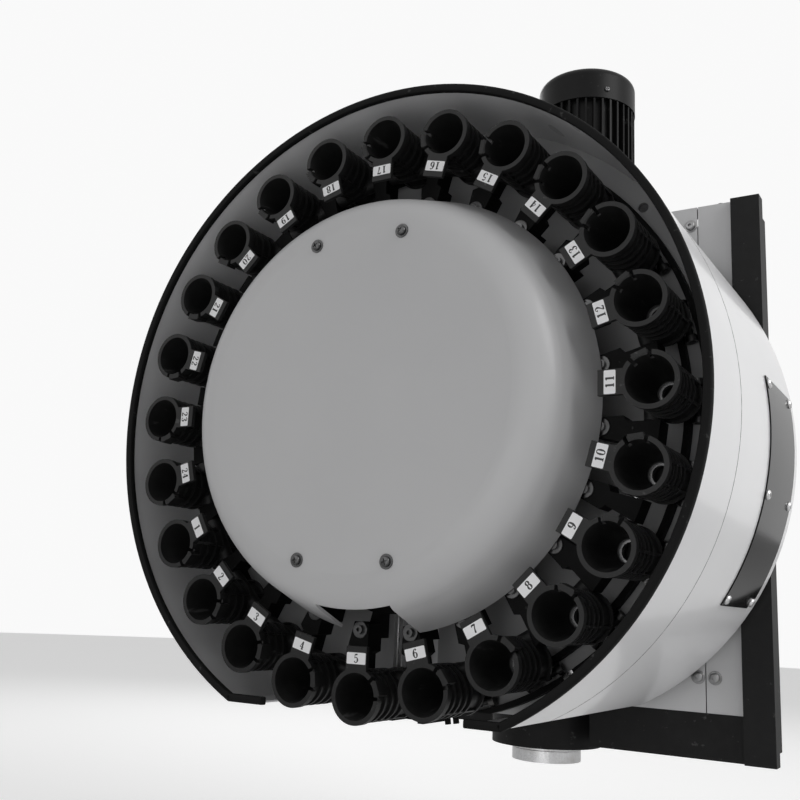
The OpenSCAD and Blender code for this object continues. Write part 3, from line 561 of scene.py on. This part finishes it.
def addScrews(name, finishName, screw, seats, *replaced):
    bm = bmesh.new()
    joinScrews(bm, screw, seats)
    smooth(addPiece(name, bm, finishName, "zinc_screw", "frame", *replaced))


# Numbers on the pots

plate = {"wide": 24.0, "high": 12.0, "corner": 1.1, "thick": 0.35, "radius": 280.5}
digit = {"high": 9.2, "pair": 7.0, "raised": 0.06, "field": (0.56, 1.0)}
# Strokes of each numeral on its field: points with x, y and half width, and whether the stroke closes
thin, bold, ball, half = 0.042, 0.115, 0.12, 0.07
strokes = {
    "0": [(True, [(0.28, 0.98, thin), (0.06, 0.5, bold), (0.28, 0.02, thin), (0.50, 0.5, bold)])],
    "1": [(False, [(0.30, 0.97, bold), (0.30, 0.5, bold), (0.30, 0.03, bold)]),
          (False, [(0.10, 0.80, thin), (0.20, 0.88, half), (0.29, 0.95, half)]),
          (False, [(0.10, 0.03, thin), (0.30, 0.03, thin), (0.50, 0.03, thin)])],
    "2": [(False, [(0.10, 0.74, ball), (0.14, 0.90, thin), (0.29, 0.98, thin), (0.47, 0.76, bold),
                   (0.36, 0.46, half), (0.07, 0.06, thin)]),
          (False, [(0.07, 0.05, half), (0.28, 0.06, bold * 0.8), (0.50, 0.06, half), (0.53, 0.22, thin)])],
    "3": [(False, [(0.09, 0.80, ball), (0.16, 0.94, thin), (0.28, 0.98, thin), (0.44, 0.77, bold),
                   (0.24, 0.54, thin)]),
          (False, [(0.24, 0.54, thin), (0.48, 0.29, bold), (0.28, 0.02, thin), (0.14, 0.06, thin),
                   (0.09, 0.20, ball)])],
    "4": [(False, [(0.38, 0.96, thin), (0.20, 0.63, thin), (0.04, 0.30, thin)]),
          (False, [(0.04, 0.29, thin), (0.30, 0.29, thin), (0.55, 0.29, thin)]),
          (False, [(0.38, 0.95, bold), (0.38, 0.5, bold), (0.38, 0.03, bold)]),
          (False, [(0.22, 0.03, thin), (0.38, 0.03, thin), (0.54, 0.03, thin)])],
    "5": [(False, [(0.12, 0.92, half), (0.28, 0.93, bold * 0.8), (0.47, 0.95, half)]),
          (False, [(0.12, 0.92, thin), (0.11, 0.72, thin), (0.10, 0.52, thin)]),
          (False, [(0.10, 0.52, thin), (0.28, 0.62, thin), (0.48, 0.33, bold), (0.28, 0.02, thin),
                   (0.13, 0.07, thin), (0.09, 0.20, ball)])],
    "6": [(False, [(0.46, 0.84, ball), (0.33, 0.97, thin), (0.09, 0.60, bold), (0.08, 0.34, bold)]),
          (True, [(0.29, 0.60, thin), (0.09, 0.31, bold), (0.29, 0.02, thin), (0.49, 0.31, bold)])],
    "7": [(False, [(0.06, 0.76, thin), (0.07, 0.92, half), (0.30, 0.92, bold), (0.52, 0.95, half)]),
          (False, [(0.52, 0.95, thin), (0.34, 0.55, half), (0.26, 0.04, bold)])],
    "8": [(True, [(0.28, 0.98, thin), (0.10, 0.76, bold), (0.28, 0.54, thin), (0.46, 0.76, bold)]),
          (True, [(0.28, 0.56, thin), (0.08, 0.28, bold), (0.28, 0.02, thin), (0.49, 0.28, bold)])],
}
numeralShapes = {}


def joinStroke(bm, closed, points):
    curve = bpy.data.curves.new("stroke", "CURVE")
    curve.dimensions = "3D"
    curve.bevel_depth = 1.0
    curve.bevel_resolution = 1
    curve.resolution_u = 5
    curve.use_fill_caps = True
    spline = curve.splines.new("BEZIER")
    spline.bezier_points.add(len(points) - 1)
    spline.use_cyclic_u = closed
    for point, (x, y, halfWidth) in zip(spline.bezier_points, points):
        point.co = (x, y, 0)
        point.radius = halfWidth
        point.handle_left_type = point.handle_right_type = "AUTO"
    holder = bpy.data.objects.new("stroke", curve)
    bpy.context.collection.objects.link(holder)
    bpy.context.view_layer.update()
    bm.from_mesh(holder.evaluated_get(bpy.context.evaluated_depsgraph_get()).to_mesh())
    bpy.data.objects.remove(holder)
    bpy.data.curves.remove(curve)


# One numeral as flattened round strokes, lying in XY; a 9 is a 6 turned over
def numeral(mark):
    if mark in numeralShapes:
        return numeralShapes[mark]
    bm = bmesh.new()
    for closed, points in strokes["6" if mark == "9" else mark]:
        joinStroke(bm, closed, points)
    wide, tall = digit["field"]
    bmesh.ops.translate(bm, verts=bm.verts, vec=(-wide / 2, -tall / 2, 0))
    if mark == "9":
        bmesh.ops.rotate(bm, verts=bm.verts, matrix=Matrix.Rotation(math.pi, 3, "Z"))
    high = digit["high"] * mm
    bmesh.ops.scale(bm, verts=bm.verts, vec=(high, high, digit["raised"] * mm / bold))
    numeralShapes[mark] = bm
    return bm


def numberPlate():
    bm = bmesh.new()
    bmesh.ops.create_grid(bm, x_segments=1, y_segments=1, size=0.5)
    bmesh.ops.scale(bm, verts=bm.verts, vec=(plate["wide"] * mm, plate["high"] * mm, 1))
    bevelled(bm, bm.verts[:], plate["corner"], 4, "VERTICES")
    raised = bmesh.ops.extrude_face_region(bm, geom=bm.faces[:])["geom"]
    top = [v for v in raised if isinstance(v, bmesh.types.BMVert)]
    bmesh.ops.translate(bm, verts=top, vec=(0, 0, plate["thick"] * mm))
    return bm


def addNumbers():
    plates = {discBody: bmesh.new(), changeBody: bmesh.new()}
    inks = {discBody: bmesh.new(), changeBody: bmesh.new()}
    for k in range(1, potCount + 1):
        body = changeBody if k == changePot else discBody
        seat = potTurn(k) @ onFront(0, 0, -plate["radius"])
        joinInto(plates[body], numberPlate(), seat)
        marks = str(k)
        for i, mark in enumerate(marks):
            along = (i - (len(marks) - 1) / 2) * digit["pair"] * mm
            lift = Matrix.Translation((along, 0, plate["thick"] * mm))
            joinInto(inks[body], numeral(mark), seat @ lift)
    for body, tail in ((discBody, ""), (changeBody, "5")):
        addPiece("numberPlates" + tail, plates[body], "labelWhite", "white_paint", body)
        smooth(addPiece("numerals" + tail, inks[body], "labelInk", "black_paint", body))


addNumbers()
print("numbers on")

# Screws of the centre cover, the smoked strip and the panels

coverScrew = {"x": 57.3, "z": 180.0, "face": -40.0, "spins": (8, 31, 17, 52),
              "head": 5.6, "high": 3.4, "dome": 0.55, "drive": "cross", "deep": 2.0,
              "washer": {"radius": 8.0, "hole": 3.0, "thick": 1.5}}
coverCorners = [(x * coverScrew["x"], z * coverScrew["z"]) for x in (-1, 1) for z in (-1, 1)]
coverSeats = [onFront(x, coverScrew["face"], z, spin)
              for (x, z), spin in zip(coverCorners, coverScrew["spins"])]
addScrews("coverScrewHeads", "blackZinc", coverScrew, coverSeats, "cover_screws")

stripScrew = {"angles": (7.7, -12.1, -31.7), "depths": (276.0, 399.0), "radius": 379.7,
              "head": 6.0, "high": 3.3, "dome": 0.8, "drive": "hex", "deep": 1.9}
addScrews("stripScrewHeads", "brightZinc", stripScrew,
          [roundDrum(angle) @ upright(stripScrew["radius"], depth, 0) @ towardsRight
           for angle in stripScrew["angles"] for depth in stripScrew["depths"]],
          "strip_screws")

panelScrew = {"places": ((242, -297), (264, -297), (242, 334)), "face": 452.0,
              "head": 6.5, "high": 5.0, "dome": 0.25, "drive": "hex", "deep": 3.2,
              "washer": {"radius": 9.0, "hole": 3.0, "thick": 1.4}}
addScrews("panelScrews", "dullZinc", panelScrew,
          [onFront(x, panelScrew["face"], z, x) for x, z in panelScrew["places"]])
print("screws in")

# The screw on the right panel's top fold
foldScrew = {"place": (283.0, 462.0, 362.0),
             "head": 5.5, "high": 3.6, "dome": 0.8, "drive": "hex", "deep": 2.0}
addScrews("foldScrew", "blackZinc", foldScrew, [upright(*foldScrew["place"])])

# Rubber trim on the drum's front edge

trim = {"outer": 380.0, "inner": 371.0, "front": -3.0, "back": 6.0, "lip": 375.4,
        "openings": (-123.0, 132.0), "steps": 150}
# The trim's section as radius and depth, from the outer leg's end round the front to the inner leg's end
trimSection = [
    (378.2, trim["back"]), (379.4, trim["back"]), (trim["outer"], 5.2), (trim["outer"], -1.2),
    (379.2, -2.4), (377.8, trim["front"]), (373.4, trim["front"]), (371.7, -2.3), (trim["inner"], -0.8),
    (371.2, 4.2), (372.2, 5.6), (373.6, trim["back"]), (trim["lip"], 5.5), (trim["lip"], trim["back"]),
]


def addTrim():
    bm = bmesh.new()
    roundWall(bm, trimSection, trim["steps"])
    side = wallRadius * math.cos(cutAngle)
    for x0, x1 in ((-side, trim["openings"][0]), (trim["openings"][1], side)):
        section = [drum(x0, y, wallRadius - bottomCut - r) for r, y in trimSection]
        run = bmesh.ops.extrude_edge_only(bm, edges=closedLoop(bm, section)[1])["geom"]
        far = [v for v in run if isinstance(v, bmesh.types.BMVert)]
        bmesh.ops.translate(bm, verts=far, vec=((x1 - x0) * mm, 0, 0))
    capEnds(bm, len(trimSection))
    smooth(addPiece("rimTrim", bm, "trimRubber", "black_rubber", "frame", "edge_trim"))


addTrim()

# The seam between the drum's two bands, drawn as painted shadow: a dark line that stands just proud of the
# wall

bandSeamShadow = {"proud": 0.12, "deep": 0.5, "wide": 0.9, "depth": 125.0, "steps": 160}


def addBandSeam():
    bm = bmesh.new()
    outer = wallRadius + bandSeamShadow["proud"]
    inner = outer - bandSeamShadow["deep"]
    near, far = bandSeamShadow["depth"] - bandSeamShadow["wide"] / 2, bandSeamShadow["depth"] + bandSeamShadow["wide"] / 2
    section = [(inner, near), (outer, near), (outer, far), (inner, far)]
    roundWall(bm, section, bandSeamShadow["steps"])
    capEnds(bm, len(section))
    smooth(addPiece("bandSeamShadow", bm, "seamShadow", "black_paint", "frame"))


addBandSeam()
print("trim and seam on")

# Washers under the bolts of the pot brackets, on the disc

bracketWasher = {"radius": 9.6, "hole": 4.4, "thick": 1.6, "bolt": 254.0, "face": 56.0}


def addBracketWashers():
    bm = bmesh.new()
    ring = washer(bracketWasher)
    for k in range(1, potCount + 1):
        joinInto(bm, ring, potTurn(k + 0.5) @ onFront(0, bracketWasher["face"], -bracketWasher["bolt"]))
    smooth(addPiece("bracketWashers", bm, "blackZinc", "black_paint", discBody))


addBracketWashers()
print("bracket washers on")

# Small parts on the guide rings: an angle clip in two legs with its screw, and two lugs.
# Each has an angle from the bottom towards the right, and a size along the ring, outwards and in depth

clipLegs = [
    {"angle": 34.4, "radius": 352.0, "depth": 109.9, "size": (13.0, 14.0, 2.0)},
    {"angle": 36.6, "radius": 353.4, "depth": 113.0, "size": (24.0, 3.0, 9.0)},
]
clipScrew = {"angle": 34.4, "radius": 352.0, "depth": 108.9,
             "head": 3.6, "high": 2.6, "dome": 0.6, "drive": "cross", "deep": 1.4}
ringLugs = [
    {"angle": 8.7, "radius": 351.5, "depth": 112.0, "size": (5.0, 7.0, 6.0)},
    {"angle": 10.4, "radius": 351.5, "depth": 112.0, "size": (5.0, 7.0, 6.0)},
]
clipEdge = 0.5


def ringSeat(part):
    return roundDrum(part["angle"]) @ onFront(0, part["depth"], -part["radius"])


def joinBlocks(bm, parts):
    for part in parts:
        shape = block(part["size"])
        bevelled(shape, shape.edges[:], clipEdge, 2)
        joinInto(bm, shape, ringSeat(part))


def addRingClips():
    lugs = bmesh.new()
    joinBlocks(lugs, ringLugs)
    smooth(addPiece("ringLugs", lugs, "blackPaint", "black_paint", "frame"))
    clips = bmesh.new()
    joinBlocks(clips, clipLegs)
    joinScrews(clips, clipScrew, [ringSeat(clipScrew)])
    smooth(addPiece("ringClips", clips, "brightZinc", "zinc_screw", "frame"))


addRingClips()
print("ring clips on")

# Guard and screws of the motor's fan cowl

guard = {"x": 56.0, "top": 632.0, "rings": (20.0, 31.0, 42.0, 53.0, 63.0), "steps": 56}
# Section of each guard ring, as distance from its middle line and height over the cowl
guardBar = [(-2.2, -1.5), (-2.2, 0.6), (-1.32, 1.2), (1.32, 1.2), (2.2, 0.6), (2.2, -1.5), (-2.2, -1.5)]


def addCowlGuard():
    bm = bmesh.new()
    for ring in guard["rings"]:
        loop = turned([((ring + out) * mm, z * mm) for out, z in guardBar], guard["steps"])
        joinInto(bm, loop, upright(guard["x"], armDepth, guard["top"]))
    smooth(addPiece("cowlGuard", bm, "motorPaint", "motor_black", "frame"))


# Where a screw sits on a round part that stands upright, looking out from it
def roundSeat(x, y, z, angle, radius):
    turn = Matrix.Rotation(math.radians(angle), 4, "Z")
    return upright(x, y, z) @ turn @ Matrix.Translation((radius * mm, 0, 0))


addCowlGuard()

cowlScrew = {"x": 56.0, "z": 592.0, "radius": 78.0, "angles": (45, 135, 225, 315),
             "head": 4.5, "high": 2.6, "dome": 0.7, "drive": "cross", "deep": 1.5}
addScrews("cowlScrews", "blackZinc", cowlScrew,
          [roundSeat(cowlScrew["x"], armDepth, cowlScrew["z"], angle, cowlScrew["radius"]) @ towardsRight
           for angle in cowlScrew["angles"]])

# Cover on the cam box's left side, its screws, and the bolts under the neck

boxCover = {"side": -130.0, "y": (452.0, 588.0), "z": (-120.0, 300.0),
            "thick": 8.0, "corner": 12.0, "rim": 1.2}
boxScrew = {"inset": 10.0, "spaces": 6,
            "head": 6.5, "high": 6.0, "dome": 0.15, "drive": "hex", "deep": 3.5}
neckBolt = {"count": 8, "radius": 86.0, "z": -318.0,
            "head": 5.0, "high": 5.0, "dome": 0.15, "drive": "hex", "deep": 3.0}


def addBoxCover():
    (y0, y1), (z0, z1) = boxCover["y"], boxCover["z"]
    bm = block((boxCover["thick"], y1 - y0, z1 - z0))
    along = [e for e in bm.edges if abs((e.verts[0].co - e.verts[1].co).x) > mergeReach]
    bevelled(bm, along, boxCover["corner"], 5)
    outer = [e for e in bm.edges if all(v.co.x < 0 for v in e.verts)]
    bevelled(bm, outer, boxCover["rim"], 2)
    middle = drum(boxCover["side"] - boxCover["thick"] / 2, (y0 + y1) / 2, (z0 + z1) / 2)
    bmesh.ops.translate(bm, verts=bm.verts, vec=middle)
    smooth(addPiece("camBoxCover", bm, "castPaint", "black_paint", "frame"))


def addBoxScrews():
    face, inset = boxCover["side"] - boxCover["thick"], boxScrew["inset"]
    columns = (boxCover["y"][0] + inset, boxCover["y"][1] - inset)
    low, high = boxCover["z"][0] + inset, boxCover["z"][1] - inset
    rows = [low + (high - low) * i / boxScrew["spaces"] for i in range(boxScrew["spaces"] + 1)]
    angles = [360 * (i + 0.5) / neckBolt["count"] for i in range(neckBolt["count"])]
    bm = bmesh.new()
    joinScrews(bm, boxScrew, [upright(face, y, z) @ towardsLeft for z in rows for y in columns])
    joinScrews(bm, neckBolt, [roundSeat(0, armDepth, neckBolt["z"], angle, neckBolt["radius"]) @ towardsGround
                              for angle in angles])
    smooth(addPiece("camBoxScrews", bm, "blackZinc", "zinc_screw", "frame"))


addBoxCover()
addBoxScrews()
print("motor and cam box dressed")
